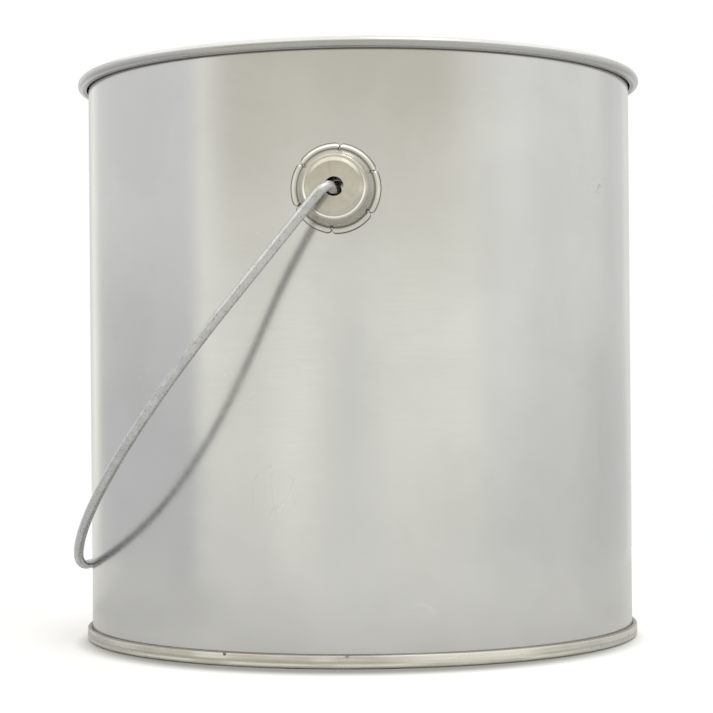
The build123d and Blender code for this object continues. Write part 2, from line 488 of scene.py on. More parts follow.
    def tint(self, colour: object, toward: object, pattern: Pattern) -> NodeSocket:
        """Blends a colour toward another one by the strength of a pattern."""
        return self.mix(self.strength(pattern), colour, toward)

    def specks(self, scale: float, size: float, soft: float) -> NodeSocket:
        """Scattered round specks.

        Args:
            scale: Cells per millimetre.
            size: Radius of a speck as a share of its cell.
            soft: Width of its soft border, in the same unit.

        Returns:
            1 inside a speck and 0 outside.
        """
        inputs = {"Vector": self.stretched(scale), "Scale": 1.0}
        cells = self.node("ShaderNodeTexVoronoi", inputs).outputs["Distance"]
        return self.remap(cells, (size, size + soft), FALL)

    def bump(self, height: NodeSocket, rise: float, under: NodeSocket | None = None) -> NodeSocket:
        """Turns a height from 0 to 1 into a bumped normal.

        Args:
            height: Height of the surface.
            rise: What a height of 1 stands for, in millimetres.
            under: Normal that this one is laid over.

        Returns:
            The bumped normal.
        """
        inputs = {"Height": height, "Distance": rise * MM, "Strength": 1.0}
        if under is not None:
            inputs["Normal"] = under
        return self.node("ShaderNodeBump", inputs).outputs["Normal"]

    def surface(
        self, colour: object, roughness: object, metallic: object, normal: NodeSocket
    ) -> Material:
        """Closes the material with one surface shader.

        Args:
            colour: Base colour.
            roughness: Roughness, plain or from nodes.
            metallic: 1 for metal, 0 for anything else, or a mask.
            normal: Bumped normal.

        Returns:
            The finished material.
        """
        inputs = {
            "Base Color": colour, "Roughness": roughness, "Metallic": metallic, "Normal": normal,
        }
        return self.close(self.node("ShaderNodeBsdfPrincipled", inputs))

    def close(self, shader: Node, output: str = "ShaderNodeOutputMaterial") -> Material | World:
        """Leads the last shader to the output and hands the material or world back."""
        self.node(output, {"Surface": shader.outputs[0]})
        return self.owner


@dataclass(frozen=True)
class Tinplate:
    """Rolled tinplate: a soft mirror with clouds of tint, faint waves, rub marks and specks.

    cloud is the scale of the clouds, and stain_scale and smear_scale are multiples of it. Polish
    and worn are the roughness where the sheet is bright and where it is rubbed, wave and grain
    are heights in millimetres, and speck_soft is a share of speck_size.
    """

    name: str
    light: Colour = (0.640, 0.640, 0.636)
    dark: Colour = (0.605, 0.605, 0.600)
    stain: Colour = (0.585, 0.575, 0.545)
    stain_share: float = 0.2
    cloud: float = 0.035
    stain_scale: float = 2.3
    smear_scale: float = 1.4
    polish: float = 0.19
    worn: float = 0.27
    wave: float = 0.02
    wave_scale: float | Point = 0.03
    grain: float = 0.0006
    rub_share: float = 0.45
    wear: Span = (0.32, 0.68)
    speck: Colour = (0.16, 0.13, 0.10)
    speck_size: float = 0.0
    speck_soft: float = 0.6
    speck_scale: float = 0.35
    lacquer: Colour = (0.66, 0.64, 0.58)
    lacquer_dulls: float = 0.7
    mottle: Pattern = Pattern(2.6, (0.3, 0.7), (0.0, 0.10), detail=2.0, rough=0.6)
    rub: Pattern = Pattern((0.10, 0.10, 2.2), rough=0.6, warp=0.2)
    roll_lines: Pattern = Pattern((0.5, 0.5, 6.0), rough=0.7)
    specked: Pattern = Pattern(0.11, (0.45, 0.6), detail=2.0)

    def build(self) -> Material:
        """Makes the material.

        Returns:
            The finished material.
        """
        s = Shader(bpy.data.materials.new(self.name))
        clouds = Pattern(self.cloud, (0.35, 0.65), detail=4.0, rough=0.55, warp=0.4)
        stained = (0.0, self.stain_share)
        stains = Pattern(
            self.cloud * self.stain_scale, (0.52, 0.75), stained, detail=5.0, rough=0.6, warp=0.8
        )
        waves = Pattern(self.wave_scale, detail=2.0, rough=0.45, warp=0.3)
        colour = s.tint(self.dark, self.light, clouds)
        colour = s.tint(colour, self.stain, stains)
        colour = s.tint(colour, self.light, self.mottle)
        colour, dirt_and_shade = self.mark(s, colour)
        smear = s.times(s.noise(Pattern(self.cloud * self.smear_scale)), 1.0 - self.rub_share)
        rub_and_sheen = s.math("ADD", s.times(s.noise(self.rub), self.rub_share), smear)
        rough = s.remap(rub_and_sheen, self.wear, (self.polish, self.worn))
        normal = s.bump(s.noise(waves), self.wave)
        normal = s.bump(s.noise(self.roll_lines), self.grain, under=normal)
        return s.surface(colour, rough, s.rest(dirt_and_shade), normal)

    def mark(self, s: Shader, colour: NodeSocket) -> tuple[NodeSocket, object]:
        """Adds what is particular to one sheet over its clouds of tint.

        Args:
            s: Material that is being put together.
            colour: Tint of the clean sheet.

        Returns:
            The marked tint, and how much dirt hides the metal.
        """
        if self.speck_size <= 0.0:
            return colour, 0.0
        specks = s.specks(self.speck_scale, self.speck_size, self.speck_size * self.speck_soft)
        specks = s.times(specks, s.strength(self.specked))
        return s.mix(specks, colour, self.speck), specks

    def lacquered(
        self, s: Shader, colour: NodeSocket, dirt_and_shade: NodeSocket, inside: NodeSocket
    ) -> tuple[NodeSocket, NodeSocket]:
        """Lays the lacquer over the part of a sheet that is inside the can.

        Args:
            s: Material that is being put together.
            colour: Tint of the sheet.
            dirt_and_shade: How much dirt and painted shade hide the metal.
            inside: 1 inside the can and 0 outside.

        Returns:
            The lacquered tint, and how much the metal is hidden.
        """
        hidden = s.times(inside, self.lacquer_dulls)
        return s.mix(inside, colour, self.lacquer), s.larger(dirt_and_shade, hidden)


@dataclass(frozen=True)
class BodyTinplate(Tinplate):
    """Tinplate of the wall: a faint grain, fine scratches and painted shade under the rim.

    Each scuff is a place on the wall, as X and Z, and its radius, all in millimetres.
    """

    scratch: Colour = (0.70, 0.70, 0.69)
    # painted shade: near black for the gap under the rim
    painted_shade: Colour = (0.12, 0.11, 0.10)
    shade_z: Ramp = Ramp(140.48, 140.75, 0.0, 0.85)
    scuff: Colour = (0.44, 0.41, 0.35)
    scuffs: tuple[Point, ...] = ((-15.7, 40.2, 8.0), (61.0, 113.0, 4.5))
    scuff_core: float = 0.5
    scuff_fade: Span = (0.7, 0.0)
    inside_radius: float = 69.85
    drawn: Pattern = Pattern((0.7, 0.7, 0.012), (0.35, 0.7), (0.0, 0.10), rough=0.6)
    hairs: Pattern = Pattern((0.09, 0.09, 0.16), detail=1.0, warp=1.6)
    hair: Stripe = Stripe(0.5, 0.0, 0.0045)
    hairy: Pattern = Pattern(0.05, (0.50, 0.62), (0.0, 0.5), detail=2.0)
    wiggles: Pattern = Pattern((0.15, 0.15, 0.11), detail=1.0, warp=2.2)
    wiggle: Stripe = Stripe(0.5, 0.0, 0.009)

    def mark(self, s: Shader, colour: NodeSocket) -> tuple[NodeSocket, NodeSocket]:
        """Adds the grain, the scratches, the scuffs, the painted shade under the rim and the
        lacquer inside.

        Args:
            s: Material that is being put together.
            colour: Tint of the sheet so far.

        Returns:
            The marked tint, and how much the painted shade and the lacquer hide the metal.
        """
        colour = s.tint(colour, self.dark, self.drawn)
        hair = s.times(s.stripe(s.noise(self.hairs), self.hair), s.strength(self.hairy))
        colour = s.mix(hair, colour, self.scratch)
        line = s.stripe(s.noise(self.wiggles), self.wiggle)
        for x, z, reach in self.scuffs:
            away = s.away_from("Y", (x, 0.0, z))
            spot = s.remap(away, (reach * self.scuff_core, reach), self.scuff_fade)
            colour = s.mix(s.times(line, spot), colour, self.scuff)
        # painted shade: the wall turns near black just under the rim, where the rim shades it
        painted_shade = s.ramp(s.height(), self.shade_z)
        colour = s.mix(painted_shade, colour, self.painted_shade)
        return self.lacquered(s, colour, painted_shade, s.within(self.inside_radius))


@dataclass(frozen=True)
class RingTinplate(Tinplate):
    """Tinplate of the friction ring: painted shade down the side of the bead and in the tuck under
    it.

    The ramps lie along the distance from the can's axis or, for side_shade_drop and
    tuck_shade_drop, below the top of the bead.
    """

    top_z: float = 143.3
    # painted shade: the lower outer side of the bead is painted darker
    side: Colour = (0.44, 0.44, 0.43)
    side_shade_radius: Ramp = Ramp(70.6, 71.2)
    side_shade_drop: Ramp = Ramp(0.85, 1.4)
    # painted shade: near black in the tuck under the bead
    painted_shade: Colour = (0.10, 0.085, 0.07)
    tuck_shade_from: Ramp = Ramp(70.1, 70.3)
    tuck_shade_to: Ramp = Ramp(71.0, 71.7, 1.0, 0.0)
    tuck_shade_drop: Ramp = Ramp(2.2, 2.45, 0.0, 0.9)

    def mark(self, s: Shader, colour: NodeSocket) -> tuple[NodeSocket, NodeSocket]:
        """Adds painted shade down the side of the bead and in the tuck under it.

        Args:
            s: Material that is being put together.
            colour: Tint of the sheet so far.

        Returns:
            The marked tint, and how much the painted shade under the bead hides the metal.
        """
        down = s.math("SUBTRACT", self.top_z, s.height())
        reach = s.away_from("Z")
        # painted shade down the outer side of the bead
        side = s.times(s.ramp(down, self.side_shade_drop), s.ramp(reach, self.side_shade_radius))
        colour = s.mix(side, colour, self.side)
        # painted shade in the tuck under the bead
        tucked = s.times(s.ramp(reach, self.tuck_shade_from), s.ramp(reach, self.tuck_shade_to))
        painted_shade = s.times(s.ramp(down, self.tuck_shade_drop), tucked)
        return s.mix(painted_shade, colour, self.painted_shade), painted_shade


@dataclass(frozen=True)
class SeamTinplate(Tinplate):
    """Tinplate of the bottom end: streaked round its seam, with painted highlights and painted
    shade.

    The stripes, both painted shade edges, glint_z and inside_z lie along the height in millimetres,
    and painted_side_shade_reach and glint_reach along the distance from a point on the seam.
    """

    # colour of the streaks, and of the painted shade band round the middle of the seam
    streak_and_shade: Colour = (0.46, 0.43, 0.37)
    streaks: Pattern = Pattern(
        (0.05, 0.05, 3.2), (0.42, 0.62), (0.0, 0.6), detail=4.0, rough=0.65, warp=0.1
    )
    mid_shade: Stripe = Stripe(1.55, 0.12, 0.35, 0.6)
    # painted highlight colour for the stripes and the glint on the seam
    rub_and_sheen: Colour = (0.88, 0.86, 0.79)
    low_highlight: Stripe = Stripe(0.9, 0.12, 0.22)
    low_highlight_patches: Pattern = Pattern((0.04, 0.04, 0.0), (0.56, 0.44), (0.2, 0.85), detail=2.0)
    high_highlight: Stripe = Stripe(2.3, 0.45, 0.3)
    high_highlight_patches: Pattern = Pattern((0.04, 0.04, 0.0), (0.46, 0.58), (0.1, 0.8), detail=2.0)
    # painted shade: the seam greyer and darker away from its front, towards the sides
    painted_side_shade: Colour = (0.54, 0.54, 0.52)
    lit_front_at: Point = (0.0, -71.0, 0.0)
    painted_side_shade_reach: Ramp = Ramp(42.0, 72.0, 0.0, 0.5)
    # painted glint: a bright patch on the upper seam at front right
    glint_at: Point = (30.0, -64.0, 0.0)
    glint_reach: Ramp = Ramp(12.0, 24.0, 1.0, 0.0)
    glint_z: Ramp = Ramp(0.9, 1.3, 0.0, 0.7)
    # painted shade along both edges of the seam
    dirt_and_shade: Colour = (0.12, 0.10, 0.08)
    low_edge_shade: Ramp = Ramp(0.20, 0.55, 0.4, 0.0)
    high_edge_shade: Ramp = Ramp(2.85, 3.15, 0.0, 0.8)
    inside_radius: float = 69.3
    inside_z: Ramp = Ramp(3.2, 3.5)

    def mark(self, s: Shader, colour: NodeSocket) -> tuple[NodeSocket, NodeSocket]:
        """Adds the streaks, painted highlights, painted shade and the lacquer on the panel.

        Args:
            s: Material that is being put together.
            colour: Tint of the sheet so far.

        Returns:
            The marked tint, and how much the painted shade, the specks and the lacquer hide the
            metal.
        """
        colour = s.tint(colour, self.streak_and_shade, self.streaks)
        height = s.height()
        # painted shade: a darker band round the middle of the seam
        colour = s.mix(s.stripe(height, self.mid_shade), colour, self.streak_and_shade)
        # painted highlights: two bright stripes round the seam
        low_highlight = s.times(s.stripe(height, self.low_highlight), s.strength(self.low_highlight_patches))
        high_highlight = s.times(s.stripe(height, self.high_highlight), s.strength(self.high_highlight_patches))
        colour = s.mix(s.larger(low_highlight, high_highlight), colour, self.rub_and_sheen)
        # painted shade: the seam turns greyer away from its front
        far = s.ramp(s.away_from("Z", self.lit_front_at), self.painted_side_shade_reach)
        colour = s.mix(far, colour, self.painted_side_shade)
        # painted glint on the upper seam
        glint_patch = s.ramp(s.away_from("Z", self.glint_at), self.glint_reach)
        glint_patch = s.times(glint_patch, s.ramp(height, self.glint_z))
        colour, specks = super().mark(s, s.mix(glint_patch, colour, self.rub_and_sheen))
        # painted shade along the seam's lower and upper edges
        edges = s.larger(s.ramp(height, self.low_edge_shade), s.ramp(height, self.high_edge_shade))
        colour = s.mix(edges, colour, self.dirt_and_shade)
        inside = s.times(s.within(self.inside_radius), s.ramp(height, self.inside_z))
        return self.lacquered(s, colour, s.larger(edges, specks), inside)


@dataclass(frozen=True)
class EarTinplate(Tinplate):
    """Tinplate of an ear: painted highlights and painted shade on its petals, face and cut edges.

    The stripes and ramps lie along the distance from the ear's axis in millimetres, apart from
    lower_z and upper_z, which lie along the height, and cut_span.
    """

    axis_z: float = 109.0
    lower_z: Ramp = Ramp(108.0, 114.0, 1.0, 0.2)
    upper_z: Ramp = Ramp(106.0, 112.0, 0.25, 1.0)
    dust_and_shade: Colour = (0.42, 0.41, 0.37)
    dusted: Pattern = Pattern(2.4, (0.35, 0.65), (0.3, 0.9), rough=0.7)
    dust_edge: Ramp = Ramp(7.15, 7.45)
    dust_hides: float = 0.85
    # the ring stripe is a painted highlight, and both lines are painted shade
    ring: Stripe = Stripe(6.95, 0.1, 0.14)
    ring_line: Stripe = Stripe(6.6, 0.05, 0.16, 0.5)
    wall_line: Stripe = Stripe(7.85, 0.05, 0.15, 0.6)
    # painted highlight for the ring on the face
    ring_highlight: Colour = (0.98, 0.97, 0.94)
    petal: Colour = (0.60, 0.59, 0.55)
    petal_edge: Ramp = Ramp(8.85, 9.10, 0.0, 0.9)
    # painted highlight for the line on the petals
    rub_and_sheen: Colour = (0.90, 0.89, 0.86)
    highlight_line: Stripe = Stripe(9.72, 0.1, 0.22, 0.9)
    # painted shade for the crease
    painted_shade: Colour = (0.22, 0.20, 0.17)
    crease: Stripe = Stripe(8.85, 0.03, 0.21, 0.8)
    crease_hides: float = 0.5
    # painted shade: near black along the raw cut edges, for the gap under the petals
    cut: Colour = (0.07, 0.06, 0.055)
    cut_span: Ramp = Ramp(0.6, 0.85, 0.0, 0.95)

    def mark(self, s: Shader, colour: NodeSocket) -> tuple[NodeSocket, NodeSocket]:
        """Adds the dust, the painted highlights and the painted shade in lines, crease and raw
        edges.

        Args:
            s: Material that is being put together.
            colour: Tint of the sheet so far.

        Returns:
            The marked tint, and how much dust, specks and painted shade hide the metal.
        """
        colour, specks = super().mark(s, colour)
        reach = s.away_from("Y", (0.0, 0.0, self.axis_z))
        dust_and_shade = s.times(s.ramp(reach, self.dust_edge), s.strength(self.dusted))
        colour = s.mix(dust_and_shade, colour, self.dust_and_shade)
        # painted highlight ring and painted shade lines, on the lower half of the ear only
        lower = s.ramp(s.height(), self.lower_z)
        ring = s.times(s.stripe(reach, self.ring), lower)
        lines = s.larger(s.stripe(reach, self.ring_line), s.stripe(reach, self.wall_line))
        colour = s.mix(s.times(lines, lower), colour, self.dust_and_shade)
        colour = s.mix(ring, colour, self.ring_highlight)
        petals = s.ramp(reach, self.petal_edge)
        colour = s.mix(petals, colour, self.petal)
        # painted highlight line on the petals, stronger towards the top
        upper = s.ramp(s.height(), self.upper_z)
        colour = s.mix(s.times(s.stripe(reach, self.highlight_line), upper), colour, self.rub_and_sheen)
        # painted shade in the crease where the petals begin
        crease = s.stripe(reach, self.crease)
        colour = s.mix(crease, colour, self.painted_shade)
        # painted shade along the raw cut edges, over their own bare steel
        raw_edge = s.node("ShaderNodeAttribute", attribute_name=CUT_EDGE).outputs["Fac"]
        raw = s.ramp(raw_edge, self.cut_span)
        dusty = s.times(s.times(dust_and_shade, s.rest(petals)), self.dust_hides)
        dirt_and_shade = s.larger(s.larger(raw, s.times(crease, self.crease_hides)), dusty)
        return s.mix(raw, colour, self.cut), s.larger(dirt_and_shade, specks)


@dataclass(frozen=True)
class GalvanisedWire:
    """Drawn steel wire with a zinc coat: grey, slightly pitted and rubbed bright in places."""

    light: Colour = (0.60, 0.605, 0.605)
    dark: Colour = (0.51, 0.515, 0.515)
    pit: Colour = (0.30, 0.30, 0.30)
    coat: Pattern = Pattern(0.35, (0.35, 0.65), detail=4.0, rough=0.6, warp=0.6)
    dulling: Pattern = Pattern(0.9, (0.3, 0.7), (0.20, 0.34))
    lumps: Pattern = Pattern(0.8, rough=0.6)
    pit_scale: float = 1.1
    pit_size: float = 0.14
    pit_edge: float = 0.16
    pit_share: float = 0.55
    lump_height: float = 0.012
    pit_depth: float = 0.01

    def build(self) -> Material:
        """Makes the material.

        Returns:
            The finished material.
        """
        s = Shader(bpy.data.materials.new("galvanised wire"))
        colour = s.tint(self.dark, self.light, self.coat)
        pits = s.specks(self.pit_scale, self.pit_size, self.pit_edge)
        colour = s.mix(s.times(pits, self.pit_share), colour, self.pit)
        normal = s.bump(s.noise(self.lumps), self.lump_height)
        normal = s.bump(s.rest(pits), self.pit_depth, under=normal)
        return s.surface(colour, s.strength(self.dulling), 1.0, normal)


@dataclass(frozen=True)
class SealingCompound:
    """Set sealing compound: matt, cream and slightly uneven."""

    light: Colour = (0.66, 0.60, 0.46)
    dark: Colour = (0.50, 0.44, 0.32)
    blotches: Pattern = Pattern(0.6, (0.35, 0.65))
    matt: Pattern = Pattern(0.6, (0.3, 0.7), (0.6, 0.75))
    ripple: Pattern = Pattern(2.0, detail=2.0)
    ripple_height: float = 0.04

    def build(self) -> Material:
        """Makes the material.

        Returns:
            The finished material.
        """
        s = Shader(bpy.data.materials.new("sealing compound"))
        colour = s.tint(self.dark, self.light, self.blotches)
        normal = s.bump(s.noise(self.ripple), self.ripple_height)
        return s.surface(colour, s.strength(self.matt), 0.0, normal)


# --- The can: body, bottom end, friction ring and sealing compound ------------------------------


@dataclass
class CanShell:
    """Everything that is joined to the can's wall, apart from its ears. Sizes in millimetres."""

    body_radius: float = 70.0
    body_sheet: float = 0.30
    end_sheet: float = 0.34
    film: float = 0.09
    fold_flat: float = 0.03
    seam_height: float = 3.25
    seam_bead: float = 0.34
    hook_gap: float = 0.45
    foot_bend: float = 0.6
    countersink: float = 3.9
    panel_steps: tuple[float, float] = (11.4, 26.4)
    panel_rise: float = 0.9
    panel_bend: float = 0.7
    panel_corner: float = 1.2
    rim_height: float = 2.5
    rim_top_bend: float = 1.0
    rim_lower_bend: float = 0.75
    rim_inner_bend: float = 1.1
    rim_tuck_gap: float = 0.45
    flange_bend: float = 0.6
    flange_drop: float = 1.0
    groove_depth: float = 5.6
    groove_width: float = 6.1
    groove_bend: float = 1.0
    bead_width: float = 1.7
    bead_drop: float = 1.25
    mouth_depth: float = 6.2
    hem_width: float = 0.95
    hem_length: float = 1.1
    weld_angle: float = 52.0
    weld_width: float = 1.1
    weld_proud: float = 0.12
    weld_edge: float = 0.07
    weld_cuts: int = 23
    weld_steps: int = 4
    height: float = field(init=False)
    rim_side: float = field(init=False)
    cover_wall: float = field(init=False)

    def __post_init__(self) -> None:
        """Takes the outer sizes from the frame and works out the sheets' mid-lines."""
        ring_high = box_mm("friction_ring")[1]
        bottom_high = box_mm("bottom_end")[1]
        self.height = ring_high.z
        self.rim_side = ring_high.x - self.end_sheet / 2
        self.cover_wall = bottom_high.x - self.end_sheet / 2

    @property
    def body_mid(self) -> float:
        """Radius of the wall's mid-line."""
        return self.body_radius - self.body_sheet / 2

    @property
    def chuck_mid(self) -> float:
        """Radius of the end sheets' mid-line inside the wall."""
        return self.body_radius - self.body_sheet - self.film - self.end_sheet / 2

    @property
    def body_hook(self) -> float:
        """Radius of the body's hook in the bottom seam."""
        return self.cover_wall - self.end_sheet / 2 - self.film - self.body_sheet / 2

    @property
    def fold_bend(self) -> float:
        """Bend of both hooks in the bottom seam."""
        return (self.body_hook - self.body_mid) / 2 - self.fold_flat

    def wall(self) -> Object:
        """Rolled wall, hooked at the bottom and flanged at the top.

        Returns:
            The wall.
        """
        fold_z = self.end_sheet + self.film + self.body_sheet / 2
        hook_end = self.seam_height - self.end_sheet - self.film - self.seam_bead
        flange_z = self.height - self.end_sheet - self.film - self.body_sheet / 2
        flange_mid = self.rim_side - self.end_sheet / 2 - self.film - self.body_sheet / 2
        corners = [
            Corner(self.body_hook, hook_end),
            Corner(self.body_hook, fold_z, self.fold_bend),
            Corner(self.body_mid, fold_z, self.fold_bend),
            Corner(self.body_mid, flange_z, self.flange_bend),
            Corner(flange_mid, flange_z, self.flange_bend),
            Corner(flange_mid, flange_z - self.flange_drop),
        ]
        return SheetRing("can_wall", self.body_sheet, corners).build()

    def weld(self) -> Object:
        """Side seam: a narrow band that stands a little proud inside and outside the wall.

        Returns:
            The band.
        """
        bm = bmesh.new()
        low = self.seam_height + self.film
        high = self.height - self.rim_height - self.film
        rounded_section(bm, [Corner(self.body_mid, low), Corner(self.body_mid, high)], 1)
        bmesh.ops.subdivide_edges(bm, edges=bm.edges[:], cuts=self.weld_cuts)
        width = self.weld_width / self.body_mid
        spin_section(bm, self.weld_steps, self.weld_angle - math.degrees(width / 2), width)
        return to_sheet(bm, "side_weld", self.body_sheet + 2 * self.weld_proud, self.weld_edge)

    def bottom(self) -> Object:
        """Bottom end: stepped panel, chuck wall and the outer layers of the seam.

        Returns:
            The bottom end.
        """
        seam_top = self.seam_height - self.end_sheet / 2
        cover_hook = self.body_radius + self.film + self.end_sheet / 2
        fold_z = self.end_sheet + self.film + self.body_sheet / 2
        foot_z = self.end_sheet / 2
        rise = self.panel_rise
        inner, outer = (self.chuck_mid - inset for inset in reversed(self.panel_steps))
        corners = [
            Corner(0.0, self.countersink + 2 * rise),
            Corner(inner - rise, self.countersink + 2 * rise, self.panel_bend),
            Corner(inner, self.countersink + rise, self.panel_bend),
            Corner(outer - rise, self.countersink + rise, self.panel_bend),
            Corner(outer, self.countersink, self.panel_bend),
            Corner(self.chuck_mid, self.countersink, self.panel_corner),
            Corner(self.chuck_mid, foot_z, self.foot_bend),
            Corner(self.cover_wall, foot_z, self.foot_bend),
            Corner(self.cover_wall, seam_top, self.fold_bend),
            Corner(cover_hook, seam_top, self.fold_bend),
            Corner(cover_hook, fold_z + self.body_sheet / 2 + self.hook_gap),
        ]
        return SheetRing("bottom_end_sheet", self.end_sheet, corners).build()

    def ring(self) -> Object:
        """Friction ring: rim bead, chuck wall, groove, bead round the mouth and its hem.

        Returns:
            The friction ring.
        """
        tuck_z = self.height - self.rim_height + self.end_sheet / 2
        top_z = self.height - self.end_sheet / 2
        groove_z = self.height - self.groove_depth
        ring_wall = self.chuck_mid - self.groove_width
        mouth = ring_wall - self.bead_width
        bead_z = top_z - self.bead_drop
        bead_bend = self.bead_width / 2 - self.fold_flat
        hem_z = bead_z - self.mouth_depth
        hem_bend = self.hem_width / 2 - self.fold_flat
        corners = [
            Corner(self.body_radius + self.rim_tuck_gap, tuck_z),
            Corner(self.rim_side, tuck_z, self.rim_lower_bend),
            Corner(self.rim_side, top_z, self.rim_top_bend),
            Corner(self.chuck_mid, top_z, self.rim_inner_bend),
            Corner(self.chuck_mid, groove_z, self.groove_bend),
            Corner(ring_wall, groove_z, self.groove_bend),
            Corner(ring_wall, bead_z, bead_bend),
            Corner(mouth, bead_z, bead_bend),
            Corner(mouth, hem_z, hem_bend),
            Corner(mouth + self.hem_width, hem_z, hem_bend),
            Corner(mouth + self.hem_width, hem_z + self.hem_length),
        ]
        return SheetRing("friction_ring_sheet", self.end_sheet, corners).build()

    def dress(self, finishes: Finishes) -> None:
        """Builds the pieces, gives them their finishes and enters them on the can.

        Args:
            finishes: Material for each slot.
        """
        enter(self.wall(), Body.CAN, Slot.BODY, finishes, "can_body")
        enter(self.weld(), Body.CAN, Slot.BODY, finishes)
        enter(self.bottom(), Body.CAN, Slot.BOTTOM, finishes, "bottom_end")
        enter(self.ring(), Body.CAN, Slot.RING, finishes, "friction_ring")
        for node in ("bottom_seam_compound", "top_seam_compound"):
            bead = frame["nodes"][node]
            bead.data.materials.clear()
            bead.data.materials.append(finishes[Slot.COMPOUND])
            log.info("%s: carried over", node)


# --- Lid -------------------------------------------------------------------------------------


@dataclass
class FrictionLid:
    """Pressed lid with a curled edge, a plug and a sunk panel. Sizes in millimetres."""

    sheet: float = 0.32
    curl_drop: float = 1.8
    curl_width: float = 1.2
    curl_end: float = 0.9
    curl_bend: float = 0.57
    plug_inset: float = 4.73
    plug_depth: float = 5.2
    plug_bend: float = 0.8
    channel_width: float = 4.4
    panel_drop: float = 1.6
    step_inset: float = 12.8
    step_rise: float = 0.7
    step_bend: float = 0.6

    def shell(self) -> Object:
        """The lid as one pressed sheet.

        Returns:
            The lid.
        """
        high = box_mm("lid")[1]
        flange_z = high.z - self.sheet / 2
        edge = high.x - self.sheet / 2
        plug = edge - self.plug_inset
        floor_z = flange_z - self.plug_depth
        channel = plug - self.channel_width
        panel_z = flange_z - self.panel_drop
        step = channel - self.step_inset
        curl_z = flange_z - self.curl_drop
        corners = [
            Corner(0.0, panel_z - self.step_rise),
            Corner(step - self.step_rise, panel_z - self.step_rise, self.step_bend),
            Corner(step, panel_z, self.step_bend),
            Corner(channel, panel_z, self.plug_bend),
            Corner(channel, floor_z, self.plug_bend),
            Corner(plug, floor_z, self.plug_bend),
            Corner(plug, flange_z, self.plug_bend),
            Corner(edge, flange_z, self.curl_bend),
            Corner(edge, curl_z, self.curl_bend),
            Corner(edge - self.curl_width, curl_z, self.curl_bend),
            Corner(edge - self.curl_width, curl_z + self.curl_end),
        ]
        return SheetRing("lid_sheet", self.sheet, corners).build()

    def dress(self, finishes: Finishes) -> None:
        """Builds the lid, gives it its finish and enters it on its own body."""
        enter(self.shell(), Body.LID, Slot.LID, finishes, "lid")


# --- Ears ------------------------------------------------------------------------------------


